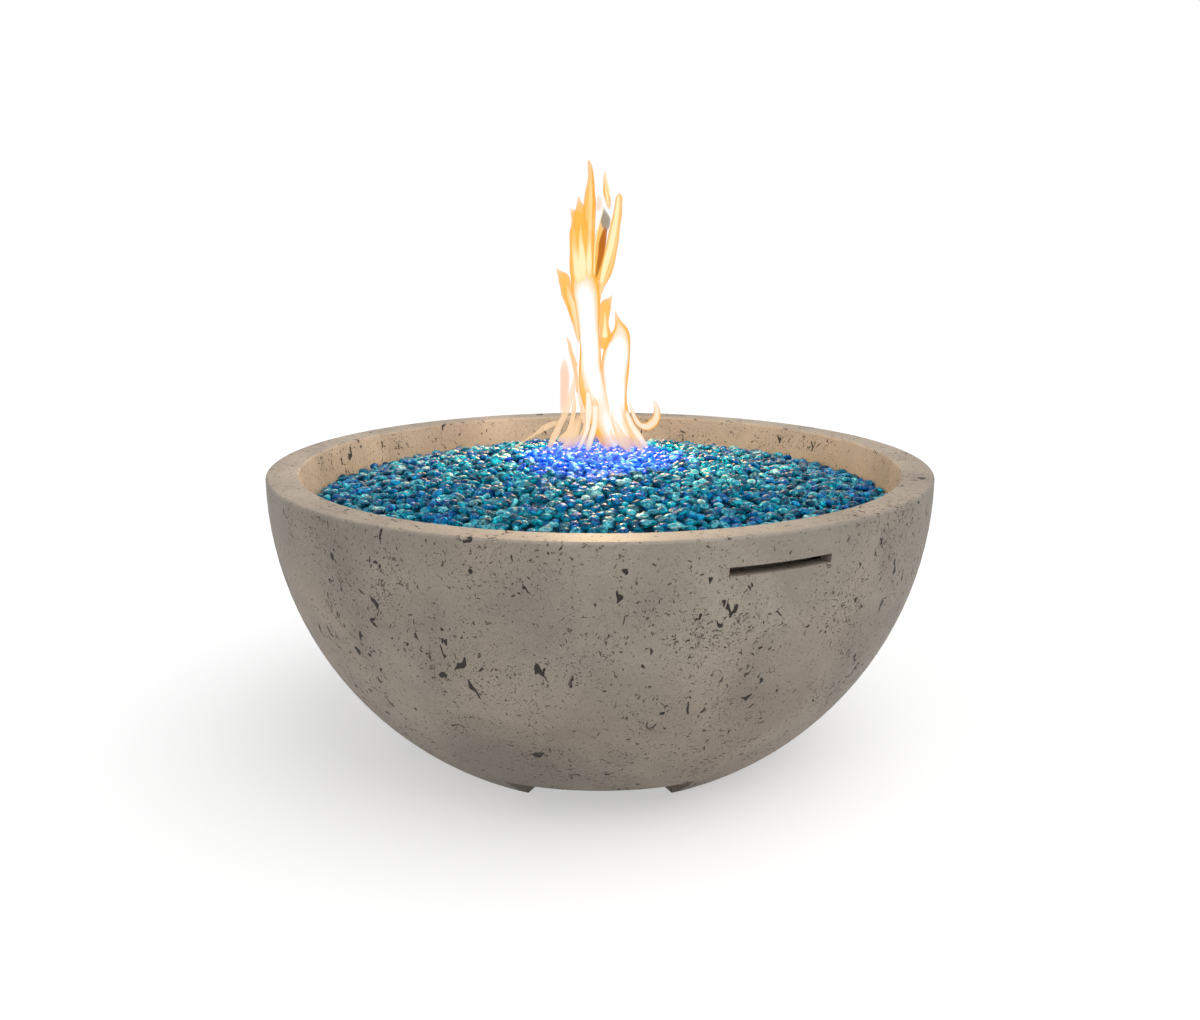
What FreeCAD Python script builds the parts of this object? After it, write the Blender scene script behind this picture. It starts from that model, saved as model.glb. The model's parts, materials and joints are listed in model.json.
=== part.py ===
import FreeCAD, Part
import math
import os

# A concrete fire bowl with a drop-in gas burner, a bed of glass pebbles and a key valve.
# Millimetres, +Z up. The origin is on the ground, under the middle of the bowl. The front is -Y.
# Heights are measured from the ground unless a name says otherwise.

Vector = FreeCAD.Vector
X_AXIS = Vector(1, 0, 0)
Y_AXIS = Vector(0, 1, 0)
Z_AXIS = Vector(0, 0, 1)

# Bowl, cast in glass-fibre concrete
bowl_radius = 406.5  # of the outer sphere
base_radius = 203.3  # of the circle on which the feet stand
rim_above_centre = 10.0  # the rim lies this far above the sphere's centre
shell_wall = 18.0
rim_width = 38.0
rim_round = 3.0
lip_wall = 14.0  # the inner lip that hangs from the rim
lip_draft = 10.0  # degrees from upright
ledge_depth = 60.0  # from the rim down to the ledge that carries the pan
ledge_width = 16.0
ledge_thickness = 16.0
foot_height = 38.0
foot_width = 38.3
floor_thickness = 18.0
base_port_radius = 50.0
notch_count = 4
notch_half_angle = 24.5  # degrees
vent_count = 2
vent_azimuth = 26.3  # degrees from the front towards +X
vent_width = 120.0
vent_height = 9.5
vent_drop = 30.0  # from the rim down to the slot's upper edge

# Flat seat for the key valve in the bowl's rear wall
seat_inset = 16.5  # from the outer sphere in to the flat, at the valve's height
seat_margin = 3.0  # round the escutcheon
seat_boss_wall = 15.0  # round the flat
barrel_hole_gap = 0.5

# Burner pan, stainless sheet
sheet = 2.0
pan_side_gap = 3.0
pan_depth = 45.0
pan_taper = 6.0
pan_bend = 8.0
pan_hem = 8.0
weep_hole_count = 8
weep_hole_radius = 4.0
weep_hole_inset = 40.0  # from the pan's side

# Burner ring with its cross tube and threaded hub
ring_radius = 92.0
tube_radius = 9.5
tube_wall = 1.2
ring_above_pan_floor = 24.0
jet_radius = 1.25
ring_jet_count = 24
cross_jet_count = 4  # each side of the hub
cross_jet_first = 26.0
cross_jet_pitch = 14.0
hub_radius = 13.2
hub_bore_radius = 8.0
hub_collar_width = 8.8
hub_collar_height = 5.0
hub_below_pan = 30.0
saddle_count = 4
saddle_width = 14.0
saddle_sheet = 1.5
saddle_foot = 14.0

# Nuts and screws
hub_nut_width = 38.0
hub_nut_height = 10.0
hub_washer_width = 10.8
washer_thickness = 2.0
saddle_screw_radius = 2.0
saddle_screw_head_radius = 3.8
saddle_screw_head_height = 2.4
saddle_nut_width = 7.0
saddle_nut_height = 3.2

# Air mixer and its turning shutter
mixer_radius = 13.0
mixer_bore_radius = 10.0
mixer_socket_radius = 17.0
mixer_socket_depth = 16.0
mixer_socket_gap = 2.0  # below the hub's locknut
mixer_throat_radius = 7.5
mixer_throat_length = 6.0
mixer_body_length = 42.0
mixer_rim_radius = 16.0
mixer_rim_height = 7.0
mixer_base_height = 10.0
window_count = 4
window_angle = 42.0  # degrees
window_height = 20.0
window_above_rim = 5.0
shutter_wall = 1.8
shutter_height = 30.0
shutter_tab_length = 11.0
shutter_tab_thickness = 3.0
shutter_tab_height = 12.0

# Gas fittings
thread_radius = 7.0  # of every male fitting that screws into an elbow
gas_bore_radius = 5.0
elbow_radius = 11.0
elbow_swell = 0.8  # of the round corner over the socket
elbow_tail_bore_radius = 4.5
elbow_tail_radius = 8.5
elbow_socket_depth = 12.0
elbow_leg = 17.0
elbow_tail = 30.0
spud_hex_width = 19.0
spud_hex_height = 8.0
spud_tip_height = 6.0
spud_jet_radius = 1.2
hose_radius = 7.0
flare_nut_width = 22.0
flare_nut_grip = 12.0  # over the elbow's tail
flare_nut_collar = 8.0  # over the hose
hose_lead = 75.0  # each hose's straight approach to its fittings

# Supply fitting on a strap across the base port
strap_length = 150.0
strap_width = 44.0
strap_thickness = 4.0
inlet_offset = 26.0  # from the bowl's axis towards -X
inlet_shank_radius = 12.5
inlet_port_radius = 9.3
inlet_port_depth = 18.0
inlet_hex_width = 30.0
inlet_hex_height = 10.0
inlet_shank_below = 34.0
inlet_nut_width = 32.0
inlet_nut_height = 8.0
anchor_radius = 3.0
anchor_length = 14.0
anchor_head_radius = 6.0
anchor_head_height = 3.5
anchor_inset = 12.0  # from the strap's ends
anchor_hole_spare = 1.0  # below the anchor's tip

# Key valve
valve_height = 185.0
valve_setback = 64.0  # from the flat seat in to the ball's centre
valve_radius = 15.0
valve_half_length = 24.0
valve_port_reach = 40.0
ball_radius = 10.0
ball_gap = 0.2
ball_bore_radius = 6.0
ball_seat_thickness = 3.6
ball_seat_radius = 9.4
barrel_radius = 11.0
barrel_bore_radius = 8.0
barrel_stand_out = 6.0  # past the flat seat
gland_start = 16.0  # from the ball's centre out to the packing gland
gland_length = 8.0
stem_radius = 5.0
stem_length = 40.0
stem_square = 6.35
stem_square_length = 16.0
tang_width = 3.0
tang_length = 6.4
tang_depth = 3.0
barrel_nut_width = 30.0
barrel_nut_height = 7.0
wall_washer_width = 9.0
escutcheon_radius = 30.0
escutcheon_thickness = 3.0
escutcheon_collar_width = 4.0
escutcheon_collar_height = 4.0
key_socket_radius = 7.4
key_socket_length = 18.0
key_shaft_radius = 4.0
key_reach = 114.0  # from the ball's centre out to the handle's axis
key_handle_radius = 4.5
key_handle_length = 50.0

# Glass bed
bed_edge_drop = 43.0  # from the rim down to the glass at the wall
bed_crown_rise = 6.0  # from the rim up to the glass in the middle

# Clearances
thread_gap = 0.1
running_gap = 0.08
seat_gap = 0.3
fill_gap = 0.5

# Places that follow from the sizes above
sphere_centre_z = math.sqrt(bowl_radius**2 - base_radius**2)
bowl_height = sphere_centre_z + rim_above_centre
foot_inner_radius = base_radius - foot_width
ledge_z = bowl_height - ledge_depth
rim_inner_radius = math.sqrt(bowl_radius**2 - rim_above_centre**2) - rim_width
lip_slope = math.tan(math.radians(lip_draft))
ledge_outer_radius = rim_inner_radius - ledge_depth * lip_slope
ledge_inner_radius = ledge_outer_radius - ledge_width
floor_top_z = foot_height + floor_thickness
pan_radius = ledge_inner_radius - pan_side_gap
pan_flange_radius = ledge_outer_radius - pan_side_gap
pan_bottom_z = ledge_z - pan_depth
pan_floor_z = pan_bottom_z + sheet
ring_z = pan_floor_z + ring_above_pan_floor
weep_circle_radius = pan_radius - weep_hole_inset
hub_collar_radius = hub_radius + hub_collar_width
hub_washer_z = pan_bottom_z - washer_thickness
hub_nut_z = hub_washer_z - hub_nut_height
mixer_top_z = hub_nut_z - mixer_socket_gap
hub_end_z = pan_bottom_z - hub_below_pan
throat_z = hub_end_z - mixer_throat_length
mixer_rim_top_z = throat_z - mixer_body_length
mixer_bottom_z = mixer_rim_top_z - mixer_rim_height - mixer_base_height
window_z = mixer_rim_top_z + window_above_rim
spud_hex_z = mixer_bottom_z - spud_hex_height
burner_elbow_z = spud_hex_z - seat_gap - elbow_leg
strap_top_z = floor_top_z + strap_thickness
inlet_hex_top_z = strap_top_z + inlet_hex_height
inlet_axis = Vector(-inlet_offset, 0, 0)
supply_elbow_z = inlet_hex_top_z + seat_gap + elbow_leg
seat_distance = math.sqrt(bowl_radius**2 - (valve_height - sphere_centre_z) ** 2) - seat_inset
seat_radius = escutcheon_radius + seat_margin
valve_centre = Vector(0, seat_distance - valve_setback, valve_height)
boss_inner_distance = seat_distance - shell_wall
valve_elbow_x = valve_port_reach - elbow_socket_depth + seat_gap + elbow_leg


def radius_at(sphere_radius, z):
    """The radius of a sphere about the bowl's centre, at a height above the ground."""
    return math.sqrt(sphere_radius**2 - (z - sphere_centre_z) ** 2)


def point(radius, z):
    """A point of a profile that is turned about the bowl's axis."""
    return Vector(radius, 0, z)


def line(start, end):
    return Part.LineSegment(start, end).toShape()


def sphere_arc(sphere_radius, low_z, high_z):
    """The stretch of a meridian of a sphere about the bowl's centre between two heights."""
    middle_z = (low_z + high_z) / 2
    ends = [point(radius_at(sphere_radius, z), z) for z in (low_z, middle_z, high_z)]
    return Part.Arc(*ends).toShape()


def turned(edges):
    """Turns a closed profile about the bowl's axis."""
    face = Part.Face(Part.Wire(Part.__sortEdges__(edges)))
    return face.revolve(Vector(), Z_AXIS, 360)


def turned_polygon(corners):
    closed = [point(*c) for c in corners]
    return Part.Face(Part.makePolygon(closed + closed[:1])).revolve(Vector(), Z_AXIS, 360)


def rod(radius, length, base, axis=Z_AXIS):
    return Part.makeCylinder(radius, length, base, axis)


def pipe(outer_radius, inner_radius, length, base, axis=Z_AXIS):
    return rod(outer_radius, length, base, axis).cut(rod(inner_radius, length, base, axis))


def hex_bar(width, height, base, axis=Z_AXIS):
    """A hexagonal bar, measured across its flats."""
    corner = width / math.sqrt(3)
    angles = [math.radians(60 * i) for i in range(7)]
    corners = [Vector(corner * math.cos(a), corner * math.sin(a), 0) for a in angles]
    bar = Part.Face(Part.makePolygon(corners)).extrude(Z_AXIS * height)
    bar.Placement = FreeCAD.Placement(base, FreeCAD.Rotation(Z_AXIS, axis))
    return bar


def hex_nut(width, hole_radius, height, base, axis=Z_AXIS):
    return hex_bar(width, height, base, axis).cut(rod(hole_radius, height, base, axis))


def sector(radius, half_angle, azimuth, low_z, high_z):
    """A wedge about the bowl's axis, its middle at an azimuth counted from the front."""
    reach = radius / math.cos(math.radians(half_angle))
    corners = [Vector()]
    for turn in (azimuth - half_angle, azimuth, azimuth + half_angle):
        angle = math.radians(turn)
        corners.append(Vector(math.sin(angle), -math.cos(angle), 0) * reach)
    wedge = Part.Face(Part.makePolygon(corners + corners[:1])).extrude(Z_AXIS * (high_z - low_z))
    return wedge.translate(Z_AXIS * low_z)


def turned_copy(shape, degrees):
    copy = shape.copy()
    copy.rotate(Vector(), Z_AXIS, degrees)
    return copy


def circle_edges(shape, radius, z):
    """The full or part circles about the bowl's axis with that radius at that height."""
    found = []
    for edge in shape.Edges:
        curve = edge.Curve
        if isinstance(curve, Part.Circle) and abs(curve.Radius - radius) < 0.01:
            if abs(curve.Center.z - z) < 0.01 and math.hypot(curve.Center.x, curve.Center.y) < 0.01:
                found.append(edge)
    return found


def bowl_blank():
    """The bowl's wall, floor and hollow lip, turned about its axis."""
    inner_sphere = bowl_radius - shell_wall
    rim_outer_radius = radius_at(bowl_radius, bowl_height)
    roof_z = bowl_height - shell_wall
    ledge_under_z = ledge_z - ledge_thickness
    lip_back_top = rim_inner_radius - shell_wall * lip_slope + lip_wall
    lip_back_bottom = ledge_outer_radius - ledge_thickness * lip_slope + lip_wall
    corners = [
        point(radius_at(bowl_radius, 0), 0),
        point(foot_inner_radius, 0),
        point(foot_inner_radius, foot_height),
        point(base_port_radius, foot_height),
        point(base_port_radius, floor_top_z),
        point(radius_at(inner_sphere, floor_top_z), floor_top_z),
    ]
    lip = [
        point(radius_at(inner_sphere, roof_z), roof_z),
        point(lip_back_top, roof_z),
        point(lip_back_bottom, ledge_under_z),
        point(ledge_inner_radius, ledge_under_z),
        point(ledge_inner_radius, ledge_z),
        point(ledge_outer_radius, ledge_z),
        point(rim_inner_radius, bowl_height),
        point(rim_outer_radius, bowl_height),
    ]
    edges = [sphere_arc(bowl_radius, 0, bowl_height), sphere_arc(inner_sphere, floor_top_z, roof_z)]
    for chain in (corners, lip):
        edges += [line(a, b) for a, b in zip(chain, chain[1:])]
    blank = turned(edges)
    rim_edges = circle_edges(blank, rim_inner_radius, bowl_height)
    rim_edges += circle_edges(blank, rim_outer_radius, bowl_height)
    return blank.makeFillet(rim_round, rim_edges)


def valve_seat_boss():
    """The thick place inside the rear wall that the valve's barrel passes through."""
    base = Vector(0, boss_inner_distance, valve_height)
    boss = rod(seat_radius + seat_boss_wall, bowl_radius - boss_inner_distance, base, Y_AXIS)
    middle_of_wall = Part.makeSphere(bowl_radius - shell_wall / 2, point(0, sphere_centre_z))
    return boss.common(middle_of_wall)


def vent_cutter(azimuth):
    """A straight slot through the outer wall that stops in the hollow behind the lip."""
    slot_middle_z = bowl_height - vent_drop - vent_height / 2
    lip_back = rim_inner_radius - (bowl_height - slot_middle_z) * lip_slope + lip_wall
    wall_inside = math.sqrt(radius_at(bowl_radius - shell_wall, slot_middle_z) ** 2 - (vent_width / 2) ** 2)
    start = (lip_back + wall_inside) / 2
    corner = Vector(-vent_width / 2, -bowl_radius - 1, slot_middle_z - vent_height / 2)
    slot = Part.makeBox(vent_width, bowl_radius + 1 - start, vent_height, corner)
    return turned_copy(slot, azimuth)


def make_bowl():
    """The cast bowl with its valve seat, vents, base notches and anchor holes."""
    bowl = bowl_blank().fuse(valve_seat_boss())
    seat_base = Vector(0, seat_distance, valve_height)
    bowl = bowl.cut(rod(seat_radius, bowl_radius, seat_base, Y_AXIS))
    hole_base = Vector(0, boss_inner_distance - 1, valve_height)
    bowl = bowl.cut(rod(barrel_radius + barrel_hole_gap, shell_wall + 2, hole_base, Y_AXIS))
    for i in range(vent_count):
        bowl = bowl.cut(vent_cutter(vent_azimuth + i * 360 / vent_count))
    for i in range(notch_count):
        notch = sector(bowl_radius, notch_half_angle, i * 360 / notch_count, 0, foot_height)
        bowl = bowl.cut(notch)
    for place in anchor_places():
        base = place + Z_AXIS * (strap_top_z - anchor_length - anchor_hole_spare)
        bowl = bowl.cut(rod(anchor_radius + thread_gap, anchor_length, base))
    return bowl


def make_pan():
    """The round tray, its flange turned up at the edge, with a hub hole and weep holes."""
    foot_radius = pan_radius - pan_taper
    hole_radius = hub_radius + thread_gap
    corners = [
        (hole_radius, pan_bottom_z),
        (foot_radius, pan_bottom_z),
        (pan_radius, ledge_z),
        (pan_flange_radius, ledge_z),
        (pan_flange_radius, ledge_z + pan_hem),
        (pan_flange_radius - sheet, ledge_z + pan_hem),
        (pan_flange_radius - sheet, ledge_z + sheet),
        (pan_radius - sheet, ledge_z + sheet),
        (foot_radius - sheet, pan_floor_z),
        (hole_radius, pan_floor_z),
    ]
    pan = turned_polygon(corners)
    pan = pan.makeFillet(pan_bend + sheet, circle_edges(pan, foot_radius, pan_bottom_z))
    pan = pan.makeFillet(pan_bend, circle_edges(pan, foot_radius - sheet, pan_floor_z))
    weep = rod(weep_hole_radius, 2 * sheet, Vector(weep_circle_radius, 0, pan_bottom_z - sheet / 2))
    for i in range(weep_hole_count):
        pan = pan.cut(turned_copy(weep, (i + 0.5) * 360 / weep_hole_count))
    for place in saddle_screw_places():
        pan = pan.cut(rod(saddle_screw_radius + thread_gap, 2 * sheet, place - Z_AXIS * 1.5 * sheet))
    return pan


def saddle_screw_places():
    """The points on the pan's floor where the saddles are screwed down."""
    places = []
    offset = tube_radius + saddle_sheet + saddle_foot / 2
    for i in range(saddle_count):
        angle = math.radians((i + 0.5) * 360 / saddle_count)
        for radius in (ring_radius - offset, ring_radius + offset):
            places.append(Vector(radius * math.cos(angle), radius * math.sin(angle), pan_floor_z))
    return places


def burner_skin(radius, hub, hub_low_z):
    """The ring, the cross tube and the hub at one radius: the outside, or the passage inside."""
    ring = Part.makeTorus(ring_radius, radius, Vector(0, 0, ring_z))
    cross = rod(radius, 2 * ring_radius, Vector(-ring_radius, 0, ring_z), X_AXIS)
    stub = rod(hub, ring_z - hub_low_z, Vector(0, 0, hub_low_z))
    return ring.fuse([cross, stub])


def make_burner_ring():
    burner = burner_skin(tube_radius, hub_radius, hub_end_z)
    burner = burner.fuse(rod(hub_collar_radius, hub_collar_height, Vector(0, 0, pan_floor_z)))
    burner = burner.cut(burner_skin(tube_radius - tube_wall, hub_bore_radius, hub_end_z))
    jets = []
    for i in range(ring_jet_count):
        angle = math.radians((i + 0.5) * 360 / ring_jet_count)
        jets.append(Vector(ring_radius * math.cos(angle), ring_radius * math.sin(angle), ring_z))
    for side in (-1, 1):
        for i in range(cross_jet_count):
            jets.append(Vector(side * (cross_jet_first + i * cross_jet_pitch), 0, ring_z))
    return burner.cut([rod(jet_radius, 2 * tube_radius, place) for place in jets])


def saddle_outline(offsets, heights):
    """The outline of a strap over the ring's section, up one side and down the other."""
    points = [Vector(ring_radius + x, 0, z) for x, z in zip(offsets, heights)]
    mirrored = [Vector(2 * ring_radius - p.x, 0, p.z) for p in reversed(points)]
    top = Vector(ring_radius, 0, ring_z - offsets[-1])
    over = Part.Arc(points[-1], top, mirrored[0]).toShape()
    up = [line(a, b) for a, b in zip(points, points[1:])]
    down = [line(a, b) for a, b in zip(mirrored, mirrored[1:])]
    return up + [over] + down


def saddle_swept(edges, width):
    """Turns an outline about the bowl's axis, as wide as a saddle on the ring, once for each."""
    angle = math.degrees(width / ring_radius)
    strip = Part.Face(Part.Wire(Part.__sortEdges__(edges))).revolve(Vector(), Z_AXIS, angle)
    turns = [(i + 0.5) * 360 / saddle_count - angle / 2 for i in range(saddle_count)]
    return [turned_copy(strip, turn) for turn in turns]


def make_saddles():
    """Sheet straps that arch over the ring, with a foot on each side."""
    inner = tube_radius + thread_gap
    outer = inner + saddle_sheet
    foot = outer + saddle_foot
    step_z = pan_floor_z + saddle_sheet
    outside = saddle_outline((-foot, -foot, -outer, -outer), (pan_floor_z, step_z, step_z, ring_z))
    inside = saddle_outline((-inner, -inner), (pan_floor_z, ring_z))
    soles = [
        line(Vector(ring_radius + a, 0, pan_floor_z), Vector(ring_radius + b, 0, pan_floor_z))
        for a, b in ((-foot, -inner), (inner, foot))
    ]
    straps = saddle_swept(outside + inside + soles, saddle_width)
    holes = [rod(saddle_screw_radius + thread_gap, saddle_sheet, p) for p in saddle_screw_places()]
    return Part.makeCompound([strap.cut(holes) for strap in straps])


def make_saddle_screws():
    screws = []
    shank_length = saddle_sheet + sheet + saddle_nut_height + 1
    for place in saddle_screw_places():
        top = place + Z_AXIS * saddle_sheet
        shank = rod(saddle_screw_radius, shank_length, top - Z_AXIS * shank_length)
        head = rod(saddle_screw_head_radius, saddle_screw_head_height, top)
        screws.append(shank.fuse(head))
    return Part.makeCompound(screws)


def make_saddle_nuts():
    nuts = []
    for place in saddle_screw_places():
        base = place - Z_AXIS * (sheet + saddle_nut_height)
        nuts.append(hex_nut(saddle_nut_width, saddle_screw_radius + thread_gap, saddle_nut_height, base))
    return Part.makeCompound(nuts)


def make_hub_washer():
    base = Vector(0, 0, hub_washer_z)
    return pipe(hub_radius + hub_washer_width, hub_radius + thread_gap, washer_thickness, base)


def make_hub_nut():
    return hex_nut(hub_nut_width, hub_radius + thread_gap, hub_nut_height, Vector(0, 0, hub_nut_z))


def windows(inner_radius, outer_radius):
    """The air windows of the mixer or of its shutter, as solids to cut away."""
    band = pipe(outer_radius, inner_radius, window_height, Vector(0, 0, window_z))
    cuts = []
    for i in range(window_count):
        turn = i * 360 / window_count
        wedge = sector(outer_radius, window_angle / 2, turn, window_z, window_z + window_height)
        cuts.append(band.common(wedge))
    return cuts


def make_mixer():
    """The tube below the hub where the gas jet draws in air."""
    base_top_z = mixer_bottom_z + mixer_base_height
    corners = [
        (thread_radius + thread_gap, mixer_bottom_z),
        (mixer_rim_radius, mixer_bottom_z),
        (mixer_rim_radius, mixer_rim_top_z),
        (mixer_radius, mixer_rim_top_z),
        (mixer_radius, throat_z),
        (mixer_socket_radius, throat_z + mixer_socket_radius - mixer_radius),
        (mixer_socket_radius, mixer_top_z),
        (hub_radius + thread_gap, mixer_top_z),
        (hub_radius + thread_gap, hub_end_z - seat_gap),
        (mixer_throat_radius, hub_end_z - seat_gap),
        (mixer_throat_radius, throat_z),
        (mixer_bore_radius, throat_z - (mixer_bore_radius - mixer_throat_radius)),
        (mixer_bore_radius, base_top_z),
        (thread_radius + thread_gap, base_top_z),
    ]
    return turned_polygon(corners).cut(windows(mixer_bore_radius - 1, mixer_radius + 1))


def make_shutter():
    inner = mixer_radius + running_gap
    outer = inner + shutter_wall
    base = Vector(0, 0, mixer_rim_top_z + seat_gap)
    sleeve = pipe(outer, inner, shutter_height, base).cut(windows(inner - 1, outer + 1))
    tab_size = (shutter_tab_thickness, shutter_tab_length + shutter_wall / 2, shutter_tab_height)
    tab_y = inner + shutter_wall / 2
    tab = Part.makeBox(*tab_size, Vector(-shutter_tab_thickness / 2, tab_y, base.z))
    return sleeve.fuse(turned_copy(tab, -180 / window_count))


def make_spud():
    """The brass jet between the mixer and the burner's elbow."""
    lower = rod(thread_radius, elbow_socket_depth, Vector(0, 0, spud_hex_z - elbow_socket_depth))
    upper = rod(thread_radius, mixer_base_height, Vector(0, 0, mixer_bottom_z))
    tip_z = mixer_bottom_z + mixer_base_height
    tip = Part.makeCone(thread_radius, 2 * spud_jet_radius, spud_tip_height, Vector(0, 0, tip_z))
    spud = hex_bar(spud_hex_width, spud_hex_height, Vector(0, 0, spud_hex_z)).fuse([lower, upper, tip])
    feed_length = tip_z - spud_hex_z + elbow_socket_depth
    feed = rod(gas_bore_radius, feed_length, Vector(0, 0, spud_hex_z - elbow_socket_depth))
    return spud.cut([feed, rod(spud_jet_radius, 2 * spud_tip_height, Vector(0, 0, tip_z - 1))])


def make_elbow(corner, socket_axis, tail_axis):
    """A brass elbow: a threaded socket along one axis and a flared tail along the other."""
    centre = Vector(0, 0, 0)
    body = rod(elbow_radius, elbow_leg, centre)
    tail = rod(elbow_tail_radius, elbow_tail, centre, Y_AXIS)
    body = body.fuse([Part.makeSphere(elbow_radius + elbow_swell, centre), tail])
    socket = rod(thread_radius + thread_gap, elbow_socket_depth, Vector(0, 0, elbow_leg - elbow_socket_depth))
    inlet = rod(gas_bore_radius, elbow_leg, Vector(0, 0, -gas_bore_radius))
    outlet = rod(elbow_tail_bore_radius, elbow_tail, centre, Y_AXIS)
    elbow = body.cut(socket).cut(inlet).cut(outlet)
    turn = FreeCAD.Rotation(tail_axis.cross(socket_axis), tail_axis, socket_axis, "ZYX")
    elbow.Placement = FreeCAD.Placement(corner, turn)
    return elbow


def fittings():
    """Each elbow's corner, its socket's axis and its tail's axis."""
    return {
        "burner_elbow": (Vector(0, 0, burner_elbow_z), Z_AXIS, Y_AXIS),
        "supply_elbow": (inlet_axis + Z_AXIS * supply_elbow_z, -Z_AXIS, Y_AXIS),
        "valve_outlet_elbow": (valve_centre + X_AXIS * valve_elbow_x, -X_AXIS, -Y_AXIS),
        "valve_inlet_elbow": (valve_centre - X_AXIS * valve_elbow_x, X_AXIS, -Y_AXIS),
    }


def tail_end(name):
    corner, _, tail_axis = fittings()[name]
    return corner + tail_axis * elbow_tail, tail_axis


def make_flare_nuts():
    nuts = []
    for name in fittings():
        end, axis = tail_end(name)
        base = end - axis * flare_nut_grip
        length = flare_nut_grip + flare_nut_collar
        nut = hex_bar(flare_nut_width, length, base, axis)
        wide = rod(elbow_tail_radius + thread_gap, flare_nut_grip, base, axis)
        narrow = rod(hose_radius + thread_gap, length, base, axis)
        nuts.append(nut.cut([wide, narrow]))
    return Part.makeCompound(nuts)


def rounded_path(points):
    """Straight runs joined by tangent arcs, each as large as its two runs allow."""
    edges = []
    start = points[0]
    for before, corner, after in zip(points, points[1:], points[2:]):
        back = (before - corner).normalize()
        ahead = (after - corner).normalize()
        reach = 0.45 * min(before.distanceToPoint(corner), after.distanceToPoint(corner))
        half_turn = (math.pi - back.getAngle(ahead)) / 2
        bend = reach / math.tan(half_turn)
        middle_axis = (back + ahead).normalize()
        centre = corner + middle_axis * (bend / math.cos(half_turn))
        first = corner + back * reach
        last = corner + ahead * reach
        print(f"hose bend radius {bend:.1f} mm")
        edges.append(line(start, first))
        edges.append(Part.Arc(first, centre - middle_axis * bend, last).toShape())
        start = last
    edges.append(line(start, points[-1]))
    return Part.Wire(edges)


def make_hose(from_fitting, to_fitting):
    """A hollow hose between the tails of two elbows."""
    start, start_axis = tail_end(from_fitting)
    end, end_axis = tail_end(to_fitting)
    path = rounded_path([start, start + start_axis * hose_lead, end + end_axis * hose_lead, end])
    solids = []
    for radius in (hose_radius, gas_bore_radius):
        ring = Part.Wire(Part.makeCircle(radius, start, start_axis))
        solids.append(path.makePipeShell([ring], True, False))
    print(f"{from_fitting} hose length {path.Length:.1f} mm")
    return solids[0].cut(solids[1])


def make_strap():
    corner = Vector(-strap_length / 2, -strap_width / 2, floor_top_z)
    strap = Part.makeBox(strap_length, strap_width, strap_thickness, corner)
    shank_base = inlet_axis + Z_AXIS * floor_top_z
    holes = [rod(inlet_shank_radius + thread_gap, strap_thickness, shank_base)]
    for place in anchor_places():
        holes.append(rod(anchor_radius + thread_gap, strap_thickness, place + Z_AXIS * floor_top_z))
    return strap.cut(holes)


def anchor_places():
    reach = strap_length / 2 - anchor_inset
    return [Vector(-reach, 0, 0), Vector(reach, 0, 0)]


def make_anchors():
    """The two screws that hold the strap to the bowl's floor."""
    anchors = []
    for place in anchor_places():
        top = place + Z_AXIS * strap_top_z
        head = rod(anchor_head_radius, anchor_head_height, top)
        anchors.append(head.fuse(rod(anchor_radius, anchor_length, top - Z_AXIS * anchor_length)))
    return Part.makeCompound(anchors)


def make_inlet_fitting():
    """The bulkhead fitting: a threaded port below the strap and a male end above it."""
    bottom = inlet_axis + Z_AXIS * (strap_top_z - inlet_shank_below)
    shank = rod(inlet_shank_radius, inlet_shank_below, bottom)
    collar = hex_bar(inlet_hex_width, inlet_hex_height, inlet_axis + Z_AXIS * strap_top_z)
    male = rod(thread_radius, elbow_socket_depth, inlet_axis + Z_AXIS * inlet_hex_top_z)
    port = rod(inlet_port_radius, inlet_port_depth, bottom)
    total = inlet_shank_below + inlet_hex_height + elbow_socket_depth
    return shank.fuse([collar, male]).cut([port, rod(gas_bore_radius, total, bottom)])


def make_inlet_nut():
    base = inlet_axis + Z_AXIS * (floor_top_z - inlet_nut_height)
    return hex_nut(inlet_nut_width, inlet_shank_radius + thread_gap, inlet_nut_height, base)


def make_valve_body():
    """The valve's body across its two ports, with the barrel that passes through the wall."""
    def across(radius, reach):
        return rod(radius, 2 * reach, valve_centre - X_AXIS * reach, X_AXIS)

    body = across(valve_radius, valve_half_length)
    barrel_length = valve_setback + barrel_stand_out
    barrel = rod(barrel_radius, barrel_length, valve_centre, Y_AXIS)
    body = body.fuse([across(thread_radius, valve_port_reach), barrel])
    counterbore = across(ball_seat_radius + thread_gap, ball_seat_start() + ball_seat_thickness)
    chamber = Part.makeSphere(ball_radius + ball_gap, valve_centre)
    stem_hole = rod(stem_radius + running_gap, barrel_length, valve_centre, Y_AXIS)
    bore_start = valve_centre + Y_AXIS * gland_start
    barrel_bore = rod(barrel_bore_radius, barrel_length - gland_start, bore_start, Y_AXIS)
    for room in (across(gas_bore_radius, valve_port_reach), counterbore, chamber, stem_hole, barrel_bore):
        body = body.cut(room)
    return body


def ball_seat_start():
    """The distance from the ball's centre at which the seats begin."""
    return math.sqrt(ball_radius**2 - ball_seat_radius**2) + ball_gap


def make_valve_seats():
    """The two soft rings that seal against the ball."""
    rings = []
    clear_ball = Part.makeSphere(ball_radius + running_gap, valve_centre)
    for axis in (X_AXIS, -X_AXIS):
        base = valve_centre + axis * ball_seat_start()
        ring = pipe(ball_seat_radius, ball_bore_radius, ball_seat_thickness, base, axis)
        rings.append(ring.cut(clear_ball))
    return Part.makeCompound(rings)


def tang_box(gap):
    """The flat driving blade between stem and ball, or with a gap its slot in the ball."""
    length = tang_length + 2 * gap
    width = tang_width + 2 * gap
    depth = tang_depth + gap
    corner = Vector(-length / 2, valve_centre.y + ball_radius - depth, valve_centre.z - width / 2)
    return Part.makeBox(length, depth + ball_gap, width, corner)


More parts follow.
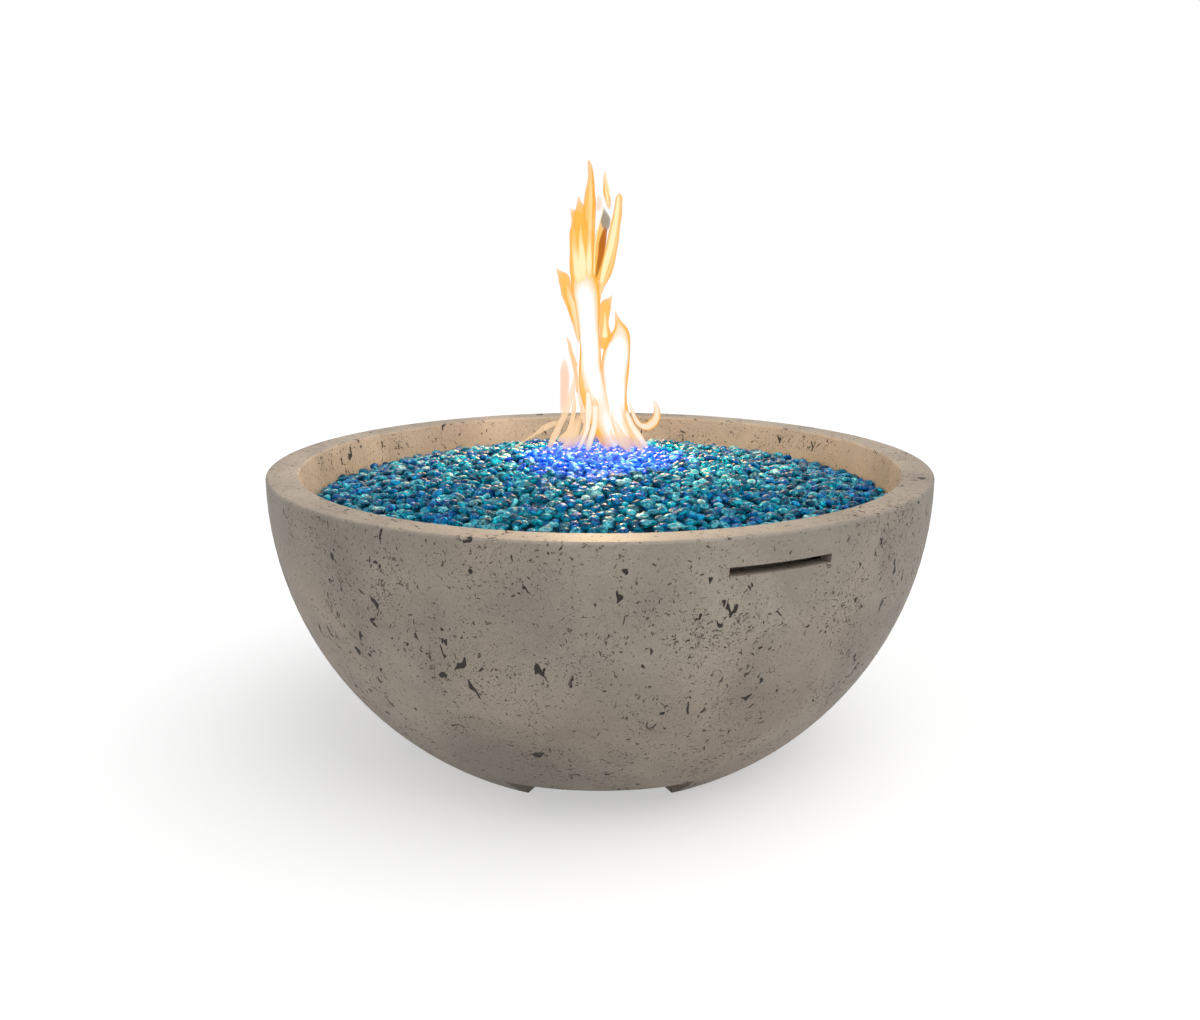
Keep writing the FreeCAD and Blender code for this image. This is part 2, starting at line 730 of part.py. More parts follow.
def make_ball():
    ball = Part.makeSphere(ball_radius, valve_centre)
    bore = rod(ball_bore_radius, 2 * ball_radius, valve_centre - X_AXIS * ball_radius, X_AXIS)
    return ball.cut(bore).cut(tang_box(thread_gap))


def make_stem():
    """The turning stem: a tang in the ball, a round shaft and a square end for the key."""
    shaft_start = valve_centre + Y_AXIS * (ball_radius + ball_gap)
    shaft = rod(stem_radius, stem_length - ball_radius - ball_gap, shaft_start, Y_AXIS)
    square_corner = Vector(-stem_square / 2, valve_centre.y + stem_length, valve_centre.z - stem_square / 2)
    square = Part.makeBox(stem_square, stem_square_length, stem_square, square_corner)
    return shaft.fuse([square, tang_box(0)])


def make_gland():
    """The packing gland screwed into the barrel round the stem."""
    base = valve_centre + Y_AXIS * gland_start
    return pipe(barrel_bore_radius - thread_gap, stem_radius + running_gap, gland_length, base, Y_AXIS)


def make_barrel_nut():
    base = Vector(0, boss_inner_distance - washer_thickness - barrel_nut_height, valve_height)
    return hex_nut(barrel_nut_width, barrel_radius + thread_gap, barrel_nut_height, base, Y_AXIS)


def make_wall_washer():
    base = Vector(0, boss_inner_distance - washer_thickness, valve_height)
    return pipe(barrel_radius + wall_washer_width, barrel_radius + thread_gap, washer_thickness, base, Y_AXIS)


def make_escutcheon():
    """The polished flange on the outside of the wall, with a raised collar."""
    base = Vector(0, seat_distance, valve_height)
    disc = rod(escutcheon_radius, escutcheon_thickness, base, Y_AXIS)
    front_edges = [e for e in disc.Edges if abs(e.BoundBox.YMin - base.y - escutcheon_thickness) < 0.01]
    disc = disc.makeFillet(escutcheon_thickness / 2, front_edges)
    height = escutcheon_thickness + escutcheon_collar_height
    flange = disc.fuse(rod(barrel_radius + escutcheon_collar_width, height, base, Y_AXIS))
    return flange.cut(rod(barrel_radius + thread_gap, height, base, Y_AXIS))


def make_key():
    """The loose key: a square socket, a shaft and a cross handle."""
    start = valve_centre + Y_AXIS * (stem_length + seat_gap)
    socket = rod(key_socket_radius, key_socket_length, start, Y_AXIS)
    handle_centre = valve_centre + Y_AXIS * key_reach
    shaft = rod(key_shaft_radius, key_reach - stem_length - seat_gap, start, Y_AXIS)
    handle = rod(key_handle_radius, key_handle_length, handle_centre - X_AXIS * key_handle_length / 2, X_AXIS)
    handle = handle.makeFillet(key_handle_radius * 0.6, [e for e in handle.Edges if len(e.Vertexes) == 1])
    hole = stem_square + 2 * thread_gap
    corner = Vector(-hole / 2, start.y, valve_height - hole / 2)
    square = Part.makeBox(hole, stem_square_length, hole, corner)
    return socket.fuse([shaft, handle]).cut(square)


def make_glass_bed():
    """The heaped glass that fills the pan and covers its flange, up to the bowl's lip."""
    edge_z = bowl_height - bed_edge_drop
    crown_z = bowl_height + bed_crown_rise
    edge_radius = rim_inner_radius - bed_edge_drop * lip_slope - fill_gap
    hem_radius = pan_flange_radius + pan_side_gap + pan_hem * lip_slope - fill_gap
    hem_top_z = ledge_z + pan_hem + fill_gap
    hem_inside = pan_flange_radius - sheet - fill_gap
    flange_top_z = ledge_z + sheet + fill_gap
    wall_inside = pan_radius - sheet - fill_gap
    foot_inside = wall_inside - pan_taper - pan_bend
    floor_z = pan_floor_z + fill_gap
    dome_radius = (edge_radius**2 + (crown_z - edge_z) ** 2) / (2 * (crown_z - edge_z))
    shoulder_z = crown_z - dome_radius + math.sqrt(dome_radius**2 - (edge_radius / 2) ** 2)
    corners = [
        point(edge_radius, edge_z),
        point(hem_radius, hem_top_z),
        point(hem_inside, hem_top_z),
        point(hem_inside, flange_top_z),
        point(wall_inside, flange_top_z),
        point(wall_inside - pan_taper, floor_z + pan_bend),
        point(foot_inside, floor_z),
        point(0, floor_z),
        point(0, crown_z),
    ]
    edges = [line(a, b) for a, b in zip(corners, corners[1:])]
    shoulder = point(edge_radius / 2, shoulder_z)
    edges.append(Part.Arc(point(0, crown_z), shoulder, point(edge_radius, edge_z)).toShape())
    bed = turned(edges)
    hollow = burner_skin(tube_radius + fill_gap, hub_radius + fill_gap, floor_z)
    collar = rod(hub_collar_radius + fill_gap, hub_collar_height, Vector(0, 0, floor_z))
    return bed.cut([hollow, collar, *saddle_room()])


def saddle_room():
    """The space that each saddle and its screws take out of the glass."""
    outer = tube_radius + thread_gap + saddle_sheet + fill_gap
    foot = outer + saddle_foot
    heads_z = pan_floor_z + saddle_sheet + saddle_screw_head_height + fill_gap
    outline = saddle_outline((-foot, -foot, -outer, -outer), (pan_floor_z, heads_z, heads_z, ring_z))
    sole = line(Vector(ring_radius - foot, 0, pan_floor_z), Vector(ring_radius + foot, 0, pan_floor_z))
    return saddle_swept(outline + [sole], saddle_width + 2 * fill_gap)


def make_parts():
    parts = {
        "bowl_shell": make_bowl(),
        "burner_pan": make_pan(),
        "burner_ring": make_burner_ring(),
        "ring_saddles": make_saddles(),
        "saddle_screws": make_saddle_screws(),
        "saddle_nuts": make_saddle_nuts(),
        "hub_washer": make_hub_washer(),
        "hub_locknut": make_hub_nut(),
        "air_mixer": make_mixer(),
        "air_shutter": make_shutter(),
        "orifice_spud": make_spud(),
        "flare_nuts": make_flare_nuts(),
        "burner_hose": make_hose("burner_elbow", "valve_outlet_elbow"),
        "inlet_hose": make_hose("supply_elbow", "valve_inlet_elbow"),
        "inlet_strap": make_strap(),
        "strap_anchors": make_anchors(),
        "inlet_fitting": make_inlet_fitting(),
        "inlet_locknut": make_inlet_nut(),
        "valve_body": make_valve_body(),
        "valve_seats": make_valve_seats(),
        "valve_ball": make_ball(),
        "valve_stem": make_stem(),
        "packing_gland": make_gland(),
        "barrel_locknut": make_barrel_nut(),
        "wall_washer": make_wall_washer(),
        "escutcheon": make_escutcheon(),
        "gas_key": make_key(),
        "fire_glass_bed": make_glass_bed(),
    }
    for name, place in fittings().items():
        parts[name] = make_elbow(*place)
    return parts


def main():
    os.makedirs("parts", exist_ok=True)
    for name, shape in make_parts().items():
        if not shape.isValid():
            print("not valid:", name)
        shape.exportStep(f"parts/{name}.step")
        print(f"{name}: {len(shape.Solids)} solid(s), {shape.Volume / 1000:.1f} cm3")


main()
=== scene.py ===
import json
import math

import bpy
import numpy as np
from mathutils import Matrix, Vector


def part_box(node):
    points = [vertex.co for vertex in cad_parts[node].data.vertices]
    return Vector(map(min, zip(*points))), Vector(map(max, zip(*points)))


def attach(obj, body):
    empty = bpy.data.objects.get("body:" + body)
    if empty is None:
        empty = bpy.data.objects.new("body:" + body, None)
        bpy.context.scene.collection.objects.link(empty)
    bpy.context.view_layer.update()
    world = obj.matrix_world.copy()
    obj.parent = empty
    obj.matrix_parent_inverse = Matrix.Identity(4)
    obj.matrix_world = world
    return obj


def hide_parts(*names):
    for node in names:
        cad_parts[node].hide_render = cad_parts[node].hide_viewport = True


# A concrete gas fire bowl: its shell, its bed of glass pebbles and a tall flame.
# Lengths are in metres, but for the flame's outlines and where a value says mm. Places are in the frame
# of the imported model.

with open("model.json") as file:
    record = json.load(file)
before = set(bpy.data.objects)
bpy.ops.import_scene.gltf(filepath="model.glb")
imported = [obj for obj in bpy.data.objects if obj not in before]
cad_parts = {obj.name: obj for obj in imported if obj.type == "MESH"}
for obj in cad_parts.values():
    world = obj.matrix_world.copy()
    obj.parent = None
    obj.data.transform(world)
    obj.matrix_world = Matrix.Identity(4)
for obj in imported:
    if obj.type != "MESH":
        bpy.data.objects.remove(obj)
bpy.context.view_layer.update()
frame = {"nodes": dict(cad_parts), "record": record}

bowl_low, bowl_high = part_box("bowl_shell")
bed_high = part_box("fire_glass_bed")[1]
rim_height = bowl_high.z
bed_radius = bed_high.x
bed_crown = bed_high.z

# Camera
camera_distance = 1.5277
camera_above_rim = 0.2933
camera_down_degrees = 13.143
camera_lens_mm = 37.14
camera_sensor_mm = 36.0

# Glass bed
bed_edge_height = 0.319
bed_fall = bed_crown - bed_edge_height
pebble_gap_top = 0.0108
pebble_gap_under = 0.0124
pebble_gap_proud = 0.030
pebble_half_length = (0.0060, 0.0088)
pebble_half_width = (0.0050, 0.0072)
pebble_half_thickness = (0.0029, 0.0042)
pebble_lumps = (0.13, 0.08)
pebble_tilt_degrees = 20.0
pebble_height_spread = 0.0011
pebble_wall_gap = 0.0055
top_layer_depth = 0.0025
under_layer_depth = 0.0080
proud_layer_depth = -0.0012
seen_cuts = 4
hidden_cuts = 2
packed_depth = 0.0115
packed_foot_height = 0.306
packed_inset = 0.006

# Flame
glow_radius = 0.104
flame_skin = 0.0004
strand_skin = 0.00013
foot_reach = 40.0  # mm over the rim: a tongue that ends lower goes on down to the glass
foot_height = 8.0
root_back = 72.0  # mm that the flame's root lies behind its middle
root_bend = 130.0  # mm over the rim, below which it bends back
foot_narrowing = 0.8
thin_width = 0.2  # mm, the least half width
core_depth = 1.28  # as a share of a core's width
pale_depth = 2.6  # as a share of a pale strand's width
wisps = 16
gas_layers = 96  # that a ray may cross

# Light
sky_strength = 0.42
key_strength = 1.55
front_strength = 0.6
flame_power = 1.95
flame_colour = (1.0, 0.68, 0.34)
flame_lamp_heights = (0.07, 0.15, 0.23)
flame_lamp_radius = 0.03
foot_power = 0.06
foot_colour = (0.02, 0.30, 1.0)
foot_lamps = 6
foot_ring_radius = 0.06
foot_lamp_lift = 0.014
foot_lamp_radius = 0.008
floor_lift = 0.47

# Seeds of all that is scattered
seed_top_layer = 11
seed_under_layer = 12
seed_flame = 13
seed_proud_layer = 14


def srgb(red, green, blue):
    """A display colour, 0 to 255 a channel, as linear values."""
    shares = np.array([red, green, blue], float) / 255
    linear = np.where(shares <= 0.04045, shares / 12.92, ((shares + 0.055) / 1.055) ** 2.4)
    return (*(float(value) for value in linear), 1.0)


class Shader:
    """A node material that is built by short calls, each of which returns an output socket."""

    def __init__(self, name):
        self.material = bpy.data.materials.new(name)
        self.material.use_nodes = True
        self.tree = self.material.node_tree
        self.tree.nodes.clear()
        self.output = self.add("ShaderNodeOutputMaterial")
        self.place = self.add("ShaderNodeTexCoord").outputs["Object"]

    def add(self, kind, inputs=None, **settings):
        """Adds a node, with its settings first and then its inputs, as values or as links."""
        node = self.tree.nodes.new(kind)
        for key, value in settings.items():
            setattr(node, key, value)
        for key, value in (inputs or {}).items():
            self.plug(node.inputs[key], value)
        return node

    def plug(self, socket, value):
        if isinstance(value, bpy.types.NodeSocket):
            self.tree.links.new(value, socket)
        else:
            socket.default_value = value

    def moved(self, shift=(0, 0, 0), stretch=(1, 1, 1)):
        """The place on the object, shifted and stretched."""
        node = self.add("ShaderNodeMapping", {"Vector": self.place, "Location": shift, "Scale": stretch})
        return node.outputs["Vector"]

    def noise(self, scale, detail=2.0, distortion=0.0, roughness=0.5, place=None):
        inputs = {
            "Vector": place or self.place,
            "Scale": scale,
            "Detail": detail,
            "Roughness": roughness,
            "Distortion": distortion,
        }
        return self.add("ShaderNodeTexNoise", inputs).outputs["Fac"]

    def math(self, operation, first, second=0.0):
        node = self.add("ShaderNodeMath", {0: first, 1: second}, operation=operation)
        return node.outputs[0]

    def range(self, value, low, high, to_low=0.0, to_high=1.0):
        """The value's range from low to high, mapped to another range and held inside it."""
        inputs = {"Value": value, "From Min": low, "From Max": high, "To Min": to_low, "To Max": to_high}
        return self.add("ShaderNodeMapRange", inputs).outputs["Result"]

    def mix(self, share, first, second, mode="MIX"):
        """Two colours mixed by share."""
        node = self.add("ShaderNodeMix", {0: share, 6: first, 7: second}, data_type="RGBA", blend_type=mode)
        return node.outputs[2]

    def vector(self, operation, inputs):
        """A node that does a vector operation."""
        return self.add("ShaderNodeVectorMath", inputs, operation=operation)

    def bump(self, height, distance):
        """The normal of a surface with a height from 0 to 1 times distance."""
        inputs = {"Height": height, "Distance": distance, "Strength": 1.0}
        return self.add("ShaderNodeBump", inputs).outputs["Normal"]

    def surface(self, inputs):
        """Ends the material in a Principled shader."""
        shader = self.add("ShaderNodeBsdfPrincipled", inputs)
        self.plug(self.output.inputs["Surface"], shader.outputs["BSDF"])
        return self.material


def pits(shader, scale, start, width, clusters, place=None):
    """A mask of scattered pits: 1 in a pit, 0 on the skin. clusters makes them gather in places."""
    field = shader.noise(scale, 2.0, 1.0, place=place)
    gathered = shader.math("ADD", field, clusters)
    return shader.range(gathered, start, start + width)


def concrete():
    """Cast concrete with cloudy tones, a fine grain and open pits, with painted shade in the pits."""
    shader = Shader("cast_concrete")
    pale = srgb(190, 178, 163)
    dark = srgb(168, 158, 145)
    rosy = srgb(186, 168, 152)
    clouds = shader.range(shader.noise(3.5, 3.0), 0.35, 0.65)
    patches = shader.range(shader.noise(9.0, 4.0, 0.6, place=shader.moved((4, 1, 7))), 0.35, 0.68)
    rose = shader.range(shader.noise(5.0, 2.0, place=shader.moved((9, 3, 2))), 0.42, 0.66)
    grain = shader.range(shader.noise(420.0, 3.0, roughness=0.7), 0.3, 0.7)
    colour = shader.mix(clouds, dark, pale)
    colour = shader.mix(shader.math("MULTIPLY", rose, 0.6), colour, rosy)
    for shade, tone in ((patches, 224), (grain, 226)):
        shading = shader.mix(shade, srgb(tone, tone, tone), srgb(255, 255, 255))
        colour = shader.mix(1.0, colour, shading, "MULTIPLY")
    gather = shader.range(shader.noise(13.0, 3.0, place=shader.moved((2, 8, 5))), 0.3, 0.75, -0.05, 0.05)
    small = pits(shader, 240.0, 0.645, 0.03, gather)
    tiny = pits(shader, 560.0, 0.66, 0.03, gather)
    upright = shader.moved((5, 5, 5), (1.0, 1.0, 0.6))
    large = pits(shader, 85.0, 0.672, 0.02, gather, upright)
    mask = shader.math("MAXIMUM", small, large)
    marks = shader.math("MAXIMUM", mask, shader.math("MULTIPLY", tiny, 0.7))
    # The pits are painted dark: painted shade in their hollows, darkest in the large pits.
    pit_shade = shader.mix(large, srgb(84, 73, 63), srgb(38, 33, 29))
    colour = shader.mix(marks, colour, pit_shade)
    skin = shader.math("MULTIPLY", grain, 0.12)
    height = shader.math("SUBTRACT", skin, marks)
    normal = shader.bump(height, 0.0012)
    roughness = shader.range(grain, 0.0, 1.0, 0.55, 0.72)
    return shader.surface({
        "Base Color": colour,
        "Roughness": roughness,
        "Specular IOR Level": 0.4,
        "Normal": normal,
    })


def metal(name, light, dark, roughness, scale, stretch=(1, 1, 1), depth=0.0001, metallic=1.0):
    """A metal or plastic skin, mottled from light to dark, with brushing or cast grain along stretch."""
    shader = Shader(name)
    place = shader.moved((0, 0, 0), stretch)
    grain = shader.range(shader.noise(scale, 4.0, place=place), 0.3, 0.7)
    cloud = shader.range(shader.noise(18.0, 3.0), 0.35, 0.65)
    share = shader.math("MULTIPLY", shader.math("ADD", grain, cloud), 0.5)
    rough = shader.range(share, 0.0, 1.0, roughness * 1.25, roughness * 0.8)
    return shader.surface({
        "Base Color": shader.mix(share, dark, light),
        "Metallic": metallic,
        "Roughness": rough,
        "Normal": shader.bump(grain, depth),
    })


def braided():
    """A stainless hose with fine ribs around it, with painted shade in the grooves between the ribs."""
    shader = Shader("corrugated_hose")
    inputs = {"Vector": shader.place, "Scale": 210.0, "Distortion": 1.5, "Detail": 2.0}
    ribs = shader.add("ShaderNodeTexWave", inputs, wave_type="RINGS", rings_direction="SPHERICAL")
    ribs = ribs.outputs["Fac"]
    # The ribs' grooves are painted darker than their crests: painted shade that follows the bump.
    colour = shader.mix(ribs, srgb(140, 138, 134), srgb(212, 211, 208))
    rough = shader.range(shader.noise(90.0), 0.3, 0.7, 0.28, 0.42)
    return shader.surface({
        "Base Color": colour,
        "Metallic": 1.0,
        "Roughness": rough,
        "Normal": shader.bump(ribs, 0.0008),
    })


def glass(name, body, deep, sheen, glow=0.20):
    """Tumbled glass with painted light: a painted glow of gathered light on its side away from the flame,
    and painted glints near the flame on top. glow sets how strongly the painted light glows.
    """
    shader = Shader(name)
    normal = shader.add("ShaderNodeTexCoord").outputs["Normal"]
    flat = shader.vector("MULTIPLY", {0: shader.place, 1: (1, 1, 0)}).outputs[0]
    outward = shader.vector("NORMALIZE", {0: flat}).outputs[0]
    away = shader.vector("LENGTH", {0: flat}).outputs["Value"]

    def facing(share, rise):
        """How much the surface faces a direction that goes outward by share and up by rise."""
        spread = shader.vector("SCALE", {0: outward, "Scale": share}).outputs[0]
        aim = shader.vector("ADD", {0: spread, 1: (0, 0, rise)}).outputs[0]
        return shader.vector("DOT_PRODUCT", {0: normal, 1: aim}).outputs["Value"]

    swirl = shader.range(shader.noise(150.0, 3.0, 2.2), 0.40, 0.60)
    # Random patches of painted glow, mixed into the painted sheen.
    patch = shader.range(shader.noise(85.0, 2.0, 1.0, place=shader.moved((3, 6, 1))), 0.50, 0.66)
    # Painted light gathered in the glass on each pebble's outward, lower side.
    gathered = shader.range(facing(0.93, -0.36), 0.25, 0.95)
    # bright is the share of painted light, from the gathered light and the glow patches.
    bright = shader.math("MAXIMUM", gathered, patch)
    bright = shader.math("MULTIPLY", bright, shader.range(swirl, 0, 1, 0.25, 0.9))
    speckle = shader.range(shader.noise(210.0, 1.0, 0.6, place=shader.moved((7, 2, 9))), 0.54, 0.58)
    # The painted glints fade with distance from the flame, as its light would.
    painted_glint_falloff = shader.range(away, 0.16, 0.34, 0.9, 0.15)
    # Painted glints of the flame on the pebbles' tops, on the side towards the flame.
    painted_glint = shader.math("MULTIPLY", shader.range(facing(-0.30, 0.95), 0.86, 0.94), speckle)
    painted_glint = shader.math("MULTIPLY", painted_glint, painted_glint_falloff)
    colour = shader.mix(swirl, deep, body)
    # The sheen colour is a painted sheen, laid where the painted light falls.
    colour = shader.mix(bright, colour, sheen)
    colour = shader.mix(painted_glint, colour, srgb(255, 218, 178))
    # The painted light and glints glow by emission, though the glass is no lamp.
    lit = shader.math("MULTIPLY", shader.math("MAXIMUM", bright, painted_glint), glow)
    return shader.surface({
        "Base Color": colour,
        "Roughness": shader.range(swirl, 0.0, 1.0, 0.03, 0.09),
        "IOR": 1.36,
        "Specular IOR Level": 0.10,
        "Transmission Weight": 0.22,
        "Emission Color": colour,
        "Emission Strength": lit,
        "Normal": shader.bump(swirl, 0.0003),
    })


def packed_glass():
    """The glass under the top layers, seen only through their gaps, painted dark as painted shade deep in
    the heap.
    """
    shader = Shader("packed_glass")
    speck = shader.range(shader.noise(150.0, 3.0, 1.0), 0.35, 0.7)
    # Dark blues: painted shade in the gaps between the pebbles.
    colour = shader.mix(speck, srgb(0, 34, 60), srgb(4, 88, 120))
    return shader.surface({
        "Base Color": colour,
        "Roughness": shader.range(speck, 0.0, 1.0, 0.35, 0.15),
        "Normal": shader.bump(speck, 0.003),
    })


def gas(name, colour, density):
    """Glowing gas: it hides what is behind it by as much as it glows."""
    shader = Shader(name)
    veil = shader.add("ShaderNodeVolumeAbsorption", {"Color": (0, 0, 0, 1), "Density": density})
    glow = shader.add("ShaderNodeEmission", {"Color": colour, "Strength": density})
    both = shader.add("ShaderNodeAddShader", {0: veil.outputs[0], 1: glow.outputs[0]})
    shader.plug(shader.output.inputs["Volume"], both.outputs[0])
    return shader.material


def new_mesh(name, corners, faces, material):
    """A smooth mesh object from lists of corners and faces."""
    mesh = bpy.data.meshes.new(name)
    mesh.from_pydata(corners, [], faces)
    mesh.materials.append(material)
    mesh.shade_smooth()
    piece = bpy.data.objects.new(name, mesh)
    bpy.context.scene.collection.objects.link(piece)
    return piece


def ball_of_quads(cuts):
    """The corners and faces of a cube with cuts by cuts faces a side, blown up to a ball of radius 1."""
    steps = np.tan(np.linspace(-math.pi / 4, math.pi / 4, cuts + 1))
    corners = {}
    faces = []

    def corner(point):
        key = tuple(np.round(point, 6))
        return corners.setdefault(key, len(corners))

    for axis in range(3):
        for side in (-1.0, 1.0):
            for i in range(cuts):
                for j in range(cuts):
                    ring = [(i, j), (i + 1, j), (i + 1, j + 1), (i, j + 1)]
                    if side < 0:
                        ring.reverse()
                    face = []
                    for u, v in ring:
                        point = np.zeros(3)
                        point[axis] = side
                        point[(axis + 1) % 3] = steps[u]
                        point[(axis + 2) % 3] = steps[v]
                        face.append(corner(point))
                    faces.append(face)
    points = np.array(list(corners), float)
    return points / np.linalg.norm(points, axis=1)[:, None], np.array(faces)


def bed_height(radius):
    """The height of the heaped glass at a distance from the middle."""
    return bed_crown - bed_fall * (radius / bed_radius) ** 2


def scattered(gap, reach, rng, tries=60000):
    """Points in a disc that are all at least gap apart."""
    cell = gap / math.sqrt(2)
    taken = {}
    points = []
    for x, y in rng.uniform(-reach, reach, (tries, 2)):
        if x * x + y * y > reach * reach:
            continue
        column = int(math.floor(x / cell))
        row = int(math.floor(y / cell))
        near = (taken.get((column + i, row + j)) for i in range(-2, 3) for j in range(-2, 3))
        if any(other and math.dist(other, (x, y)) < gap for other in near):
            continue
        taken[column, row] = (x, y)
        points.append((x, y))
    return np.array(points)


def pebble_layer(gap, depth, cuts, seed):
    """The corners of a layer of flattened pebbles, one block a pebble, and the faces of one pebble."""
    rng = np.random.default_rng(seed)
    ball, faces = ball_of_quads(cuts)
    spots = scattered(gap, bed_radius - pebble_wall_gap, rng)
    count = len(spots)
    size = np.stack([
        rng.uniform(*pebble_half_length, count),
        rng.uniform(*pebble_half_width, count),
        rng.uniform(*pebble_half_thickness, count),
    ], axis=1)
    shape = np.repeat(ball[None], count, axis=0)
    for strength in pebble_lumps:
        first = rng.normal(size=(count, 3))
        second = rng.normal(size=(count, 3))
        first /= np.linalg.norm(first, axis=1)[:, None]
        second /= np.linalg.norm(second, axis=1)[:, None]
        lump = np.einsum("pk,nk->np", ball, first) * np.einsum("pk,nk->np", ball, second)
        shape = shape * (1 + strength * lump)[:, :, None]
    shape = shape * size[:, None, :]
    turn = rng.uniform(0, 2 * math.pi, count)
    lean_way = rng.uniform(0, 2 * math.pi, count)
    lean = np.radians(rng.normal(0, pebble_tilt_degrees, count))
    shape = turned(shape, np.array([0, 0, 1.0]) + np.zeros((count, 3)), turn)
    sideways = np.stack([np.cos(lean_way), np.sin(lean_way), np.zeros(count)], axis=1)
    shape = turned(shape, sideways, lean)
    radius = np.linalg.norm(spots, axis=1)
    height = bed_height(radius) - depth + rng.normal(0, pebble_height_spread, count)
    shape[:, :, 0] += spots[:, None, 0]
    shape[:, :, 1] += spots[:, None, 1]
    shape[:, :, 2] += height[:, None]
    return shape, faces, rng


def turned(shape, axes, angles):
    """Each block of points turned about its own axis by its own angle."""
    cosine = np.cos(angles)[:, None, None]
    sine = np.sin(angles)[:, None, None]
    axes = np.broadcast_to(axes[:, None, :], shape.shape)
    along = (shape * axes).sum(axis=2)[:, :, None]
    return shape * cosine + np.cross(axes, shape) * sine + axes * along * (1 - cosine)


def add_pebbles():
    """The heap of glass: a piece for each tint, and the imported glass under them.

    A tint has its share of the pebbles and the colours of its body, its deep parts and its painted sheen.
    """
    tints = {
        "pebbles_teal": (0.28, srgb(0, 128, 168), srgb(0, 44, 88), srgb(20, 222, 240)),
        "pebbles_aqua": (0.22, srgb(0, 164, 196), srgb(0, 74, 118), srgb(130, 246, 250)),
        "pebbles_azure": (0.22, srgb(0, 104, 180), srgb(0, 34, 96), srgb(0, 186, 244)),
        "pebbles_deep": (0.20, srgb(0, 70, 110), srgb(0, 34, 66), srgb(0, 158, 190)),
        "pebbles_smoky": (0.06, srgb(12, 92, 118), srgb(0, 40, 66), srgb(130, 206, 214)),
        "pebbles_pale": (0.04, srgb(90, 208, 214), srgb(10, 130, 156), srgb(226, 250, 244)),
        # The pebbles by the flame's foot take this blue tint: the foot's blue light painted into their
        # colour.
        "pebbles_lit": (0.0, srgb(0, 96, 232), srgb(0, 30, 168), srgb(130, 214, 255)),
    }
    layers = [
        pebble_layer(pebble_gap_top, top_layer_depth, seen_cuts, seed_top_layer),
        pebble_layer(pebble_gap_under, under_layer_depth, hidden_cuts, seed_under_layer),
        pebble_layer(pebble_gap_proud, proud_layer_depth, seen_cuts, seed_proud_layer),
    ]
    shares = np.array([tint[0] for tint in tints.values()])
    picks = []
    for shape, _, rng in layers:
        pick = rng.choice(len(tints), len(shape), p=shares / shares.sum())
        pick[in_blue_glow(shape.mean(axis=1), rng)] = len(tints) - 1
        picks.append(pick)
    for number, (name, (_, *colours)) in enumerate(tints.items()):
        corners = []
        quads = []
        base = 0
        for (shape, faces, _), pick in zip(layers, picks):
            chosen = shape[pick == number]
            count, points, _ = chosen.shape
            corners.append(chosen.reshape(-1, 3))
            starts = base + points * np.arange(count)
            quads.append((faces[None] + starts[:, None, None]).reshape(-1, 4))
            base += count * points
        corners = np.concatenate(corners).tolist()
        quads = np.concatenate(quads).tolist()
        dress_glass(new_mesh(name, corners, quads, glass(name, *colours)))
    dress_glass(packed_bed())


def in_blue_glow(spots, rng):
    """Which pebbles lie in the ragged patch that the flame's blue foot lights, whose blue light is painted
    into their colour.
    """
    angles = np.arctan2(spots[:, 1], spots[:, 0])
    waves = 0.10 * np.sin(3 * angles + 1.0) + 0.07 * np.sin(7 * angles)
    ragged = 1 + waves + rng.normal(0, 0.07, len(spots))
    return np.linalg.norm(spots[:, :2], axis=1) < glow_radius * ragged


def dress_glass(piece):
    """Puts a piece of the heap on the bowl, in the place of the plain bed."""
    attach(piece, "bowl")
    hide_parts("fire_glass_bed")


def packed_bed(rings=40, sides=160):
    """A low dome of packed glass that the pebbles lie on."""
    radii = np.linspace(0, bed_radius - packed_inset, rings + 1)[1:]
    heights = bed_height(radii) - packed_depth
    angles = np.linspace(0, 2 * math.pi, sides, endpoint=False)
    corners = [(0, 0, bed_height(0) - packed_depth)]
    for radius, height in zip(radii, heights):
        corners += [(radius * math.cos(a), radius * math.sin(a), height) for a in angles]
    foot_radius = radii[-1] - packed_inset
    corners += [(foot_radius * math.cos(a), foot_radius * math.sin(a), packed_foot_height) for a in angles]
    corners.append((0, 0, packed_foot_height))
    faces = []
    last = len(corners) - 1
    for side in range(sides):
        after = (side + 1) % sides
        faces.append((0, 1 + side, 1 + after))
        for ring in range(rings):
            inner = 1 + ring * sides
            outer = inner + sides
            faces.append((inner + side, outer + side, outer + after, inner + after))
        final = 1 + rings * sides
        faces.append((last, final + after, final + side))
    return new_mesh("packed_glass_bed", corners, faces, packed_glass())


